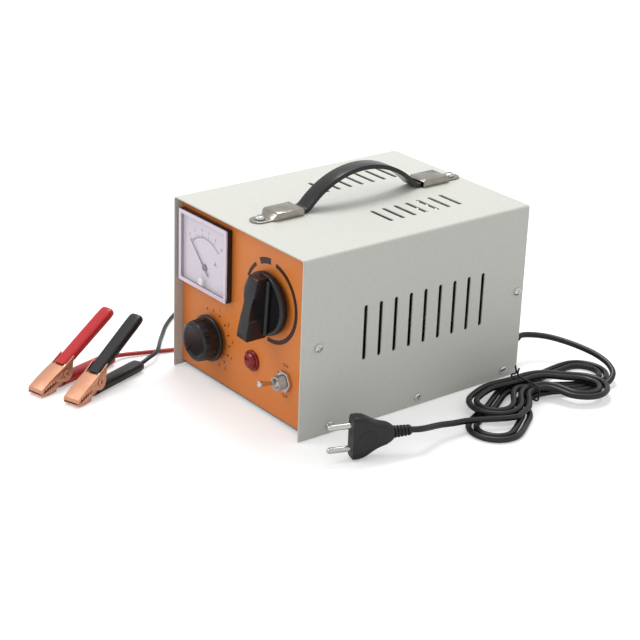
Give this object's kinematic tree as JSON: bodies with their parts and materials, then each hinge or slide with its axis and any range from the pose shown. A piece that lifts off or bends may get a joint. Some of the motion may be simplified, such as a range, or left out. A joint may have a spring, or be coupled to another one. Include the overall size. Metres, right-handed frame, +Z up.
{
  "type": "car battery charger",
  "caption": "Portable car battery charger: folded steel case with control panel, strap handle, ammeter, selector and trim knobs, lamp, switch, mains lead and sprung battery clips.",
  "frame": {"origin": "on the floor, below the middle of the charger without its leads", "axes": "+Z up, the control panel faces -Y, +X is to the right seen from the front"},
  "size_m": [0.3702, 0.4268, 0.1795],
  "materials": {
    "case_paint": "hammertone enamel on folded sheet steel",
    "panel_paint": "satin orange enamel",
    "zinc_steel": "zinc plated",
    "chrome": "bright plated",
    "clip_copper": "copper plated spring steel",
    "black_plastic": "moulded, semi gloss",
    "black_rubber": "moulded, matt",
    "black_cord": "smooth sheath",
    "red_cord": "smooth sheath",
    "red_vinyl": "dipped vinyl",
    "black_vinyl": "dipped vinyl",
    "red_lens": "tinted clear moulding",
    "clear_plastic": "clear moulding",
    "dial_card": "white",
    "needle_black": "black lacquer",
    "magnet_steel": "magnet and pole pieces",
    "laminations": "stacked sheets",
    "winding": "varnished copper wire",
    "aluminium": "extruded"
  },
  "bodies": {
    "case": {"mains_hank": "black_cord", "red_coil": "red_cord", "black_coil": "black_cord", "cover": "case_paint", "chassis": "zinc_steel", "front_panel": "panel_paint", "black_lead_front": "black_cord", "red_lead_front": "red_cord", "selector_switch": "zinc_steel", "lamp_lens": "red_lens", "red_clip_spring": "zinc_steel", "black_clip_spring": "zinc_steel", "lead_gland": "black_rubber", "trim_switch": "zinc_steel", "handle_strap": "black_rubber", "red_clip_lower_jaw": "clip_copper", "black_clip_lower_jaw": "clip_copper", "meter_case": "black_plastic", "mains_gland": "black_rubber", "hank_tie": "black_plastic", "toggle_switch": "zinc_steel", "mains_cord": "black_cord", "meter_cover": "clear_plastic", "mains_plug": "black_plastic", "mains_tail": "black_cord", "handle_screw_front": "chrome", "handle_screw_rear": "chrome", "handle_cap_front": "chrome", "handle_cap_rear": "chrome", "foot_front_left": "black_rubber", "foot_front_right": "black_rubber", "foot_rear_left": "black_rubber", "foot_rear_right": "black_rubber", "meter_movement": "magnet_steel", "transformer_coil": "winding", "lamp_body": "black_plastic", "red_clip_rivet": "zinc_steel", "black_clip_rivet": "zinc_steel", "red_clip_lower_sleeve": "red_vinyl", "black_clip_lower_sleeve": "black_vinyl", "heat_sink": "aluminium", "toggle_nut": "chrome", "meter_dial": "dial_card", "rectifier": "black_plastic", "red_lead": "red_cord", "black_lead": "black_cord", "plug_pin_upper": "chrome", "plug_pin_lower": "chrome", "transformer_core": "laminations"},
    "selector": {"selector_knob": "black_plastic", "selector_shaft": "zinc_steel"},
    "trim": {"trim_knob": "black_plastic", "trim_shaft": "zinc_steel"},
    "toggle": {"toggle_lever": "chrome"},
    "needle": {"meter_needle": "needle_black"},
    "zero_screw": {"meter_zero_screw": "dial_card"},
    "red_clip_top": {"red_clip_upper_jaw": "clip_copper", "red_clip_upper_sleeve": "red_vinyl"},
    "black_clip_top": {"black_clip_upper_jaw": "clip_copper", "black_clip_upper_sleeve": "black_vinyl"}
  },
  "joints": [
    {"name": "selector_turn", "type": "hinge", "parent": "case", "child": "selector", "pos_m": [0.0362, -0.1075, 0.0985], "axis": [0, 1, 0], "range_deg": [0, 300]},
    {"name": "trim_turn", "type": "hinge", "parent": "case", "child": "trim", "pos_m": [-0.041, -0.1075, 0.041], "axis": [0, 1, 0], "range_deg": [0, 300]},
    {"name": "toggle_flip", "type": "hinge", "parent": "case", "child": "toggle", "pos_m": [0.057, -0.114, 0.0395], "axis": [1, 0, 0], "range_deg": [0, 24]},
    {"name": "needle_swing", "type": "hinge", "parent": "case", "child": "needle", "pos_m": [-0.049, -0.1075, 0.099], "axis": [0, 1, 0], "range_deg": [0, 90], "stiffness_Nm_per_rad": 0.0003, "springref_deg": -11.46},
    {"name": "zero_screw_turn", "type": "hinge", "parent": "case", "child": "zero_screw", "pos_m": [-0.049, -0.1075, 0.088], "axis": [0, 1, 0], "range_deg": [-45, 45]},
    {"name": "red_clip_open", "type": "hinge", "parent": "case", "child": "red_clip_top", "pos_m": [-0.10467, -0.21333, 0.013], "axis": [-0.9703, -0.2419, 0], "range_deg": [0, 30], "stiffness_Nm_per_rad": 0.08, "springref_deg": -14.32},
    {"name": "black_clip_open", "type": "hinge", "parent": "case", "child": "black_clip_top", "pos_m": [-0.07532, -0.19962, 0.013], "axis": [-0.9455, -0.3256, 0], "range_deg": [0, 30], "stiffness_Nm_per_rad": 0.08, "springref_deg": -14.32}
  ]
}
